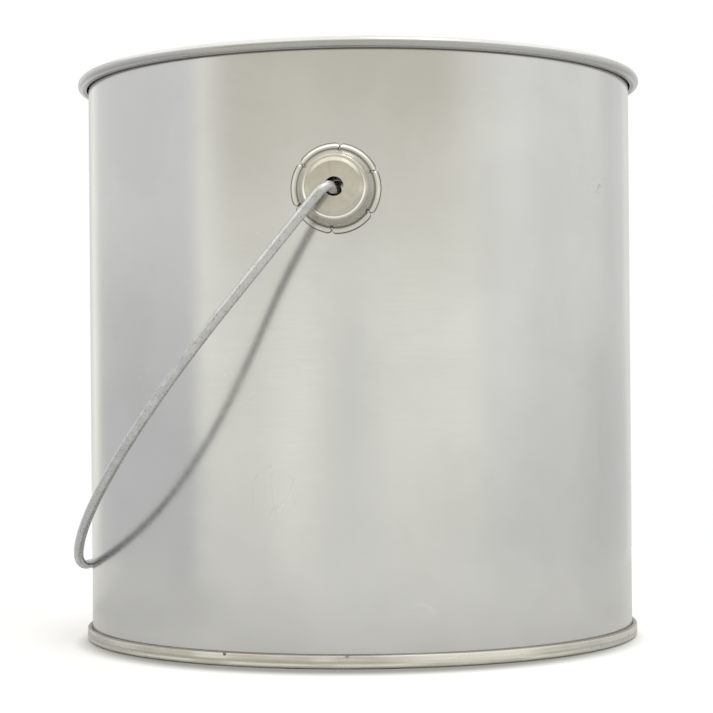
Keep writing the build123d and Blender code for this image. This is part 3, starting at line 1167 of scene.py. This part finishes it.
@dataclass
class BailEar:
    """Stamped cup with a pierced face and clinched petals. Sizes in millimetres."""

    sheet: float = 0.5
    body_radius: float = 70.02
    hole_radius: float = 2.2
    disc_radius: float = 5.75
    disc_bend: float = 0.6
    ledge_radius: float = 6.6
    ledge_drop: float = 0.42
    ledge_bend: float = 0.5
    ledge_fall: float = 0.05
    shoulder_radius: float = 7.3
    shoulder_bend: float = 0.38
    crease_radius: float = 8.8
    crease_bend: float = 0.3
    crest_radius: float = 9.3
    crest_rise: float = 0.38
    crest_bend: float = 0.5
    rim_rise: float = 0.02
    slit_width: float = 0.4
    relief_radius: float = 0.35
    columns: int = 300
    bend_segments: int = 5
    petals: int = 6
    first_slit: float = 24.0
    corner: float = 0.9
    edge: float = 0.11

    def section(self, face: float, rim: float) -> list[Corner]:
        """Section of the cup from the hole's edge out to the petals' edge.

        Args:
            face: Distance of the face's mid-line from the can's axis.
            rim: Outer radius of the petals.

        Returns:
            The corners of the section.
        """
        seat = self.body_radius + self.sheet / 2
        ledge = face - self.ledge_drop
        return [
            Corner(self.hole_radius, face),
            Corner(self.disc_radius, face, self.disc_bend),
            Corner(self.ledge_radius, ledge, self.ledge_bend),
            Corner(self.shoulder_radius, ledge - self.ledge_fall, self.shoulder_bend),
            Corner(self.crease_radius, seat, self.crease_bend),
            Corner(self.crest_radius, seat + self.crest_rise, self.crest_bend),
            Corner(rim, seat + self.rim_rise),
        ]

    def lay_on_body(self, bm: BMesh) -> None:
        """Bends the petals to the can's wall and leaves the face flat.

        Args:
            bm: Cup with its petals, its axis on Z.
        """
        for vert in bm.verts:
            reach = math.hypot(vert.co.x, vert.co.y)
            share = (reach - self.shoulder_radius) / (self.crease_radius - self.shoulder_radius)
            fall = self.body_radius - math.sqrt(self.body_radius**2 - vert.co.x**2)
            vert.co.z -= min(1.0, max(0.0, share)) * fall

    def beside_slit(self, place: Vector) -> float:
        """Distance in millimetres from the middle line of the nearest slit.

        Args:
            place: Point of the cup before it is stood up.

        Returns:
            The distance.
        """
        pitch = 360 / self.petals
        angle = math.degrees(math.atan2(place.y, place.x)) - self.first_slit
        turn = abs((angle + pitch / 2) % pitch - pitch / 2)
        return math.radians(turn) * place.xy.length

    def is_open(self, place: Vector) -> bool:
        """Whether a face in that place belongs to a slit or to the relief at its end.

        Args:
            place: Middle of the face.

        Returns:
            True where there is no metal.
        """
        beside = self.beside_slit(place)
        past = place.xy.length - self.crease_radius
        if math.hypot(beside, past) < self.relief_radius:
            return True
        return past > 0 and beside < self.slit_width / 2

    def cut_petals(self, bm: BMesh, rim: float) -> None:
        """Opens the slits between the petals, rounds their corners and marks the cut edges.

        Args:
            bm: Spun cup, its axis on Z.
            rim: Outer radius of the petals.
        """
        gaps = [f for f in bm.faces if self.is_open(f.calc_center_median())]
        bmesh.ops.delete(bm, geom=gaps, context="FACES")
        for vert in bm.verts:
            reach = vert.co.xy.length
            if reach <= self.crest_radius:
                continue
            along = max(0.0, self.beside_slit(vert.co) - self.slit_width / 2)
            if along < self.corner:
                depth = self.corner - math.sqrt(self.corner**2 - (self.corner - along) ** 2)
                pull = depth * (reach - self.crest_radius) / (rim - self.crest_radius)
                vert.co.xy *= (reach - pull) / reach
        layer = bm.verts.layers.float.new(CUT_EDGE)
        for vert in bm.verts:
            vert[layer] = float(vert.is_boundary and vert.co.xy.length > self.shoulder_radius)

    def stamp(self, node: str) -> Object:
        """Makes one ear where its CAD node is.

        Args:
            node: CAD node of the ear, on the -Y or the +Y side.

        Returns:
            The ear.
        """
        low, high = box_mm(node)
        face = max(abs(low.y), abs(high.y)) - self.sheet / 2
        rim = (high.x - low.x) / 2
        bm = bmesh.new()
        rounded_section(bm, self.section(face, rim), self.bend_segments)
        spin_section(bm, self.columns, self.first_slit)
        self.cut_petals(bm, rim)
        self.lay_on_body(bm)
        upright = Matrix.Rotation(math.radians(90), 4, "X")
        turn = Matrix.Identity(4) if low.y < 0 else Matrix.Rotation(math.pi, 4, "Z")
        place = turn @ Matrix.Translation((0, 0, (low.z + high.z) / 2)) @ upright
        bmesh.ops.transform(bm, matrix=place, verts=bm.verts[:])
        return to_sheet(bm, f"{node}_stamping", self.sheet, self.edge, segments=3)

    def dress(self, finishes: Finishes) -> None:
        """Builds both ears, gives them their finish and enters them on the can."""
        for node in ("front_ear", "rear_ear"):
            enter(self.stamp(node), Body.CAN, Slot.EAR, finishes, node)


# --- Bail ------------------------------------------------------------------------------------


class WireMaker:
    """Draws a round wire: it grows from its end ring, straight on or round an arc."""

    def __init__(self, start: Vector, direction: Vector, radius: float, segments: int) -> None:
        """Starts with a closed end.

        Args:
            start: Middle of the wire's end.
            direction: Way the wire goes from there.
            radius: Radius of the end.
            segments: Faces round the wire.
        """
        self.bm = bmesh.new()
        self.tip = start.copy()
        self.way = direction.normalized()
        turn = self.way.to_track_quat("Z", "Y").to_matrix().to_4x4()
        made = bmesh.ops.create_circle(
            self.bm, cap_ends=True, radius=radius, segments=segments,
            matrix=Matrix.Translation(start) @ turn,
        )
        self.radius = radius
        self.ring = list({e for v in made["verts"] for e in v.link_edges})

    def grow(self, length: float, radius: float | None = None, steps: int = 1) -> None:
        """Extends the wire straight on.

        Args:
            length: How far.
            radius: Radius that it reaches, if it changes.
            steps: Faces along the way.
        """
        for _ in range(steps):
            grown = bmesh.ops.extrude_edge_only(self.bm, edges=self.ring)["geom"]
            verts = [v for v in grown if isinstance(v, BMVert)]
            ahead = self.way * (length / steps)
            bmesh.ops.translate(self.bm, verts=verts, vec=ahead)
            self.tip += ahead
            if radius is not None:
                for vert in verts:
                    vert.co = self.tip + (vert.co - self.tip) * (radius / self.radius)
                self.radius = radius
            self.ring = [e for e in grown if isinstance(e, BMEdge)]

    def curve(self, inward: Vector, angle: float, steps: int) -> None:
        """Carries the wire round an arc.

        Args:
            inward: From the tip to the middle of the arc, square to the wire.
            angle: Angle in radians.
            steps: Faces along the arc.
        """
        centre = self.tip + inward
        axis = self.way.cross(inward).normalized()
        made = bmesh.ops.spin(
            self.bm, geom=self.ring, cent=centre, axis=axis, angle=angle, steps=steps
        )
        self.ring = [e for e in made["geom_last"] if isinstance(e, BMEdge)]
        turn = Matrix.Rotation(angle, 3, axis)
        self.tip = centre + turn @ (self.tip - centre)
        self.way = turn @ self.way


@dataclass
class WireBail:
    """Swinging handle: one wire with a head, a stub, a bend and a leg each side and a wide bow.

    Sizes in millimetres, angles in degrees. The wire is drawn as (side, reach, offset) and then
    laid down to its rest angle.
    """

    wire: float = 1.2
    bend: float = 3.0
    stub: float = 4.5
    offset: float = 1.7
    flare: float = 2.9
    leg_length: float = 34.3
    corner: float = 75.2
    corner_turn: float = 63.4
    corner_tilt: float = 3.1
    body_radius: float = 70.0
    rest_gap: float = 0.3
    head: float = 2.6
    head_thickness: float = 1.0
    head_setback: float = 1.1
    head_edge: float = 0.25
    head_ease: float = 0.3
    neck: float = 0.25
    edge: float = 0.05
    edge_angle: float = 50.0
    merge_reach: float = 0.01
    ear_sheet: float = 0.5
    segments: int = 28
    stub_steps: int = 4
    bend_steps: int = 14
    leg_steps: int = 12
    corner_steps: int = 40
    bow_steps: int = 50

    def plane(self, pivot: Vector, middle: Vector) -> Matrix:
        """Matrix from the wire's own directions to where it rests against the can.

        Args:
            pivot: A point of the hinge's axis.
            middle: Middle of the bow.

        Returns:
            The matrix.
        """
        rest = self.body_radius + self.rest_gap + self.wire
        swing = math.hypot(middle.y, middle.z)
        angle = math.acos(rest / swing) + math.atan2(middle.z, middle.y)
        side = Vector((0, 1, 0))
        away = Vector((-math.cos(angle), 0, -math.sin(angle)))
        turn = Matrix((side, away, side.cross(away))).transposed().to_4x4()
        return Matrix.Translation(pivot) @ turn

    def draw_head(self, maker: WireMaker) -> None:
        """Draws the upset head from its back to where the wire leaves it.

        Args:
            maker: Wire that starts at the back of the head.
        """
        edge, ease = self.head_edge, self.head_ease
        for length, radius in (
            (edge * ease, self.head - edge * ease),
            (edge * (1 - ease), self.head),
            (self.head_thickness - 2 * edge, self.head),
            (edge * (1 - ease), self.head - edge * ease),
            (edge * ease, self.head - edge),
            (0.0, self.wire + self.neck),
            (self.neck, self.wire),
        ):
            maker.grow(length, radius)

    def draw_half(self, face: float) -> WireMaker:
        """Draws one half of the wire, from its head to the middle of the bow.

        Args:
            face: Distance of the ear's face from the can's axis.

        Returns:
            The maker, with its tip in the middle of the bow.
        """
        flare = math.radians(self.flare)
        leg = Vector((math.sin(flare), math.cos(flare), 0))
        hole = Vector((face - self.ear_sheet / 2, 0, 0))
        corner = Vector((face + self.stub, 0, self.offset))
        stub = (corner - hole).normalized()
        front = (face - self.ear_sheet - self.head_setback - hole.x) / stub.x
        back = hole + stub * (front - self.head_thickness)
        maker = WireMaker(back, stub, self.head - self.head_edge, self.segments)
        self.draw_head(maker)
        turn = stub.angle(leg)
        tangent = self.bend * math.tan(turn / 2)
        maker.grow((corner - maker.tip).length - tangent, steps=self.stub_steps)
        inward = (leg - stub * stub.dot(leg)).normalized()
        maker.curve(inward * self.bend, turn, self.bend_steps)
        maker.grow(self.leg_length - tangent, steps=self.leg_steps)
        lean = Matrix.Rotation(math.radians(-self.corner_tilt), 3, leg)
        inward = lean @ Vector((-leg.y, leg.x, 0))
        maker.curve(inward * self.corner, math.radians(self.corner_turn), self.corner_steps)
        way = maker.way
        ahead = Vector((0, way.y, way.z))
        inward = (way * way.x - Vector((1, 0, 0))) / ahead.length
        radius = maker.tip.x / ahead.length
        maker.curve(inward * radius, ahead.angle(-inward), self.bow_steps)
        return maker

    def build(self) -> Object:
        """Makes the whole wire with both heads.

        Returns:
            The handle.
        """
        hinge = next(j for j in frame["joints"] if j["child"] == Body.BAIL.value)
        maker = self.draw_half(-box_mm("front_ear")[0].y)
        bm = maker.bm
        half = bm.verts[:] + bm.edges[:] + bm.faces[:]
        bmesh.ops.mirror(bm, geom=half, axis="X", merge_dist=self.merge_reach)
        bmesh.ops.remove_doubles(bm, verts=bm.verts[:], dist=DOUBLES)
        place = self.plane(Vector(hinge["pos_m"]) / MM, maker.tip)
        bmesh.ops.transform(bm, matrix=place, verts=bm.verts[:])
        bmesh.ops.recalc_face_normals(bm, faces=bm.faces[:])
        piece = to_piece(bm, "bail_handle")
        ease_edges(piece, self.edge, angle=self.edge_angle)
        return piece

    def dress(self, finishes: Finishes) -> None:
        """Builds the bail, gives it its finish and enters it on its own body."""
        enter(self.build(), Body.BAIL, Slot.BAIL, finishes, "bail_wire")


# --- Studio ----------------------------------------------------------------------------------


@dataclass(frozen=True)
class SoftCard:
    """A soft-edged card in the studio's surroundings, placed by direction in degrees.

    Azimuth 0 is in front of the can and grows towards +X. Elevation is above the horizon.
    """

    name: str
    colour: Colour
    azimuth: Span
    elevation: Span
    azimuth_edge: Span
    elevation_edge: Span


@dataclass(frozen=True)
class FloorMat:
    """A soft-edged grey mat beside the can, in millimetres, that shows only in its metal."""

    across: Span
    along: Span
    share: float
    edges: Span = (15.0, 15.0)


@dataclass
class Studio:
    """Pale floor, soft surroundings, lamp and camera. Sizes in millimetres."""

    sensor: float = 36.0
    lens: float = 100.8
    distance: float = 522.8
    eye_height: float = 62.9
    azimuth: float = 4.3
    roll: float = 0.473
    shift: Span = (-0.0058, 0.049)
    floor_radius: float = 300.0
    floor_segments: int = 96
    floor_dark: Colour = (0.65, 0.65, 0.64)
    floor_light: Colour = (0.67, 0.67, 0.66)
    floor_cloud: Pattern = Pattern(0.02, (0.3, 0.7))
    floor_glow: float = 0.08
    floor_tone: Colour = (0.90, 0.90, 0.90)
    # painted contact shadow on the floor, shifted in front of the can
    painted_shadow_tone: Colour = (0.34, 0.34, 0.325)
    painted_shadow_centre: Point = (0.0, -10.5, 0.0)
    painted_shadow_edge: Ramp = Ramp(63.8, 73.8)
    mats: tuple[FloorMat, ...] = (
        FloorMat((-300.0, -105.0), (-140.0, 60.0), 0.12),
        FloorMat((100.0, 300.0), (0.0, 220.0), 0.08),
    )
    lamp_at: Point = (250.0, -350.0, 850.0)
    lamp_aim: Point = (0.0, 0.0, 80.0)
    lamp_size: float = 300.0
    lamp_power: float = 0.9
    horizon: Colour = (1.12, 1.115, 1.03)
    cards: tuple[SoftCard, ...] = (
        SoftCard("far floor", (0.80, 0.795, 0.76), (-190, 190), (-100, -3.4), (5, 5), (5, 3.2)),
        SoftCard("ceiling", (0.78, 0.77, 0.73), (-190, 190), (15, 100), (5, 5), (6, 5)),
        SoftCard("right wall", (0.97, 0.975, 0.94), (56, 154), (-3, 16), (10, 6), (3, 5)),
        SoftCard("right floor", (0.80, 0.80, 0.775), (62, 190), (-100, 0.6), (14, 5), (5, 3.0)),
        SoftCard("far right", (0.74, 0.74, 0.72), (112, 156), (-100, 1.5), (14, 5), (5, 3.0)),
        SoftCard("far right, high", (0.83, 0.83, 0.81), (126, 156), (1, 20), (8, 5), (3, 5)),
        SoftCard("right stripe", (1.06, 1.06, 1.02), (60, 78), (0, 11), (8, 8), (3, 5)),
        SoftCard("left light", (1.20, 1.195, 1.11), (-32, -14), (-4, 3), (7, 7), (3, 3)),
        SoftCard("left floor", (0.87, 0.86, 0.82), (-66, -36), (-100, -2.8), (5, 14), (5, 3.0)),
        SoftCard("middle", (0.95, 0.95, 0.91), (-8, 10), (-5, 4.5), (9, 9), (3, 3)),
        SoftCard("room's side", (0.81, 0.795, 0.725), (-58, -24), (4.2, 14), (10, 8), (1.7, 5)),
        SoftCard("room", (0.745, 0.715, 0.62), (-52, 50), (5.6, 26), (9, 18), (2.2, 8)),
        SoftCard("left wall", (0.88, 0.88, 0.875), (-142, -66), (4, 22), (6, 5), (5, 8)),
        SoftCard("left screen", (0.70, 0.70, 0.705), (-140, -66), (-100, 4.2), (7, 4.5), (5, 4.2)),
        SoftCard("behind, left", (0.90, 0.90, 0.88), (-190, -153), (-100, 40), (5, 5), (5, 5)),
        SoftCard("behind, left, high", (0.79, 0.79, 0.78), (-190, -153), (-2, 24), (5, 5), (4, 6)),
        SoftCard("behind, right", (0.84, 0.84, 0.82), (158, 190), (-100, 40), (5, 5), (5, 5)),
        SoftCard("overhead", (1.38, 1.37, 1.33), (-190, 190), (31, 100), (5, 5), (6, 5)),
    )

    def world(self) -> None:
        """Surroundings that light the can and show in its metal; the backdrop is plain white."""
        world = bpy.data.worlds.new("studio")
        bpy.context.scene.world = world
        s = Shader(world)
        x, y, z = s.split(s.places["Generated"])
        azimuth = s.math("DEGREES", s.math("ARCTAN2", x, s.times(y, -1.0)))
        elevation = s.math("DEGREES", s.math("ARCSINE", z))
        colour: object = self.horizon
        for card in self.cards:
            across = s.between(azimuth, card.azimuth, card.azimuth_edge)
            upward = s.between(elevation, card.elevation, card.elevation_edge)
            colour = s.mix(s.times(across, upward), colour, card.colour, card.name)
        light = s.node("ShaderNodeBackground", {"Color": colour})
        backdrop = s.node("ShaderNodeBackground", {"Color": WHITE})
        rays = s.node("ShaderNodeLightPath").outputs
        seen = s.larger(rays["Is Camera Ray"], rays["Is Transmission Ray"])
        choice = {0: seen, 1: light.outputs[0], 2: backdrop.outputs[0]}
        s.close(s.node("ShaderNodeMixShader", choice), "ShaderNodeOutputWorld")

    def floor(self) -> None:
        """Round pale floor that keeps the can's shadow, adds a painted one at its foot and runs
        into the white backdrop.
        """
        bm = bmesh.new()
        bmesh.ops.create_circle(
            bm, cap_ends=True, radius=self.floor_radius, segments=self.floor_segments
        )
        piece = to_piece(bm, "studio_floor")
        s = Shader(bpy.data.materials.new("pale floor"))
        camera = s.node("ShaderNodeLightPath").outputs["Is Camera Ray"]
        tone = s.tint(self.floor_dark, self.floor_light, self.floor_cloud)
        x, y, _ = s.split(s.stretched())
        for mat in self.mats:
            area = s.times(s.between(x, mat.across, mat.edges), s.between(y, mat.along, mat.edges))
            tone = s.mix(s.times(area, mat.share), tone, BLACK)
        # painted contact shadow: the floor darker round the can's foot, most in front, with less
        # glow
        outside_painted_shadow = s.ramp(s.away_from("Z", self.painted_shadow_centre), self.painted_shadow_edge)
        seen = s.mix(outside_painted_shadow, self.painted_shadow_tone, self.floor_tone)
        matt = s.node("ShaderNodeBsdfDiffuse", {"Color": s.mix(camera, tone, seen)})
        light = s.times(camera, s.times(outside_painted_shadow, self.floor_glow))
        glow = s.node("ShaderNodeEmission", {"Color": WHITE, "Strength": light})
        both = s.node("ShaderNodeAddShader", {0: matt.outputs[0], 1: glow.outputs[0]})
        piece.data.materials.append(s.close(both))

    def lamp(self) -> None:
        """Soft lamp overhead."""
        data = bpy.data.lights.new("overhead softbox", "AREA")
        data.shape = "DISK"
        data.size = self.lamp_size * MM
        data.energy = self.lamp_power
        lamp = add_object("overhead softbox", data)
        lamp.location = Vector(self.lamp_at) * MM
        aim = Vector(self.lamp_aim) * MM - lamp.location
        lamp.rotation_euler = aim.to_track_quat("-Z", "Y").to_euler()

    def camera(self) -> None:
        """Camera in front of the ear, a little to its right and low above the floor."""
        data = bpy.data.cameras.new("camera")
        data.sensor_width = self.sensor
        data.lens = self.lens
        data.shift_x, data.shift_y = self.shift
        camera = add_object("camera", data)
        turn = math.radians(self.azimuth)
        back = Vector((math.sin(turn), -math.cos(turn), 0.0))
        camera.location = (back * self.distance + Vector((0, 0, self.eye_height))) * MM
        aim = (-back).to_track_quat("-Z", "Y").to_matrix().to_4x4()
        roll = Matrix.Rotation(math.radians(-self.roll), 4, "Z")
        camera.rotation_euler = (aim @ roll).to_euler()
        bpy.context.scene.camera = camera

    def build(self) -> None:
        """Sets up floor, surroundings, lamp and camera."""
        self.floor()
        self.world()
        self.lamp()
        self.camera()
        bpy.context.scene.view_settings.view_transform = "Standard"


def make_finishes() -> Finishes:
    """Makes one material for each slot of the record.

    Returns:
        The materials by slot.
    """
    bottom = SeamTinplate(
        "bottom tinplate", light=(0.72, 0.695, 0.63), dark=(0.60, 0.575, 0.515),
        stain=(0.54, 0.505, 0.43), stain_share=0.5, cloud=0.05, polish=0.24, worn=0.36,
        wave=0.03, wave_scale=(0.06, 0.06, 0.3), speck_size=0.10, speck_scale=0.28,
    )
    ear = EarTinplate(
        "ear tinplate", light=(0.60, 0.58, 0.51), dark=(0.53, 0.505, 0.435),
        stain=(0.47, 0.44, 0.36), stain_share=0.4, cloud=0.16, polish=0.18, worn=0.27,
        wave=0.03, wave_scale=0.2, speck_size=0.08, speck_scale=1.6,
    )
    return {
        Slot.BODY: BodyTinplate("body tinplate", polish=0.15, worn=0.20).build(),
        Slot.BOTTOM: bottom.build(),
        Slot.RING: RingTinplate("ring tinplate", polish=0.18, worn=0.28, cloud=0.06).build(),
        Slot.LID: Tinplate("lid tinplate", polish=0.2, worn=0.32, cloud=0.05).build(),
        Slot.EAR: ear.build(),
        Slot.BAIL: GalvanisedWire().build(),
        Slot.COMPOUND: SealingCompound().build(),
    }


def main() -> None:
    """Builds and dresses every piece, then the studio."""
    logging.basicConfig(level=logging.INFO, format="%(message)s")
    finishes = make_finishes()
    for assembly in (CanShell(), FrictionLid(), BailEar(), WireBail()):
        assembly.dress(finishes)
    Studio().build()
    bpy.context.view_layer.update()


if __name__ == "__main__":
    main()
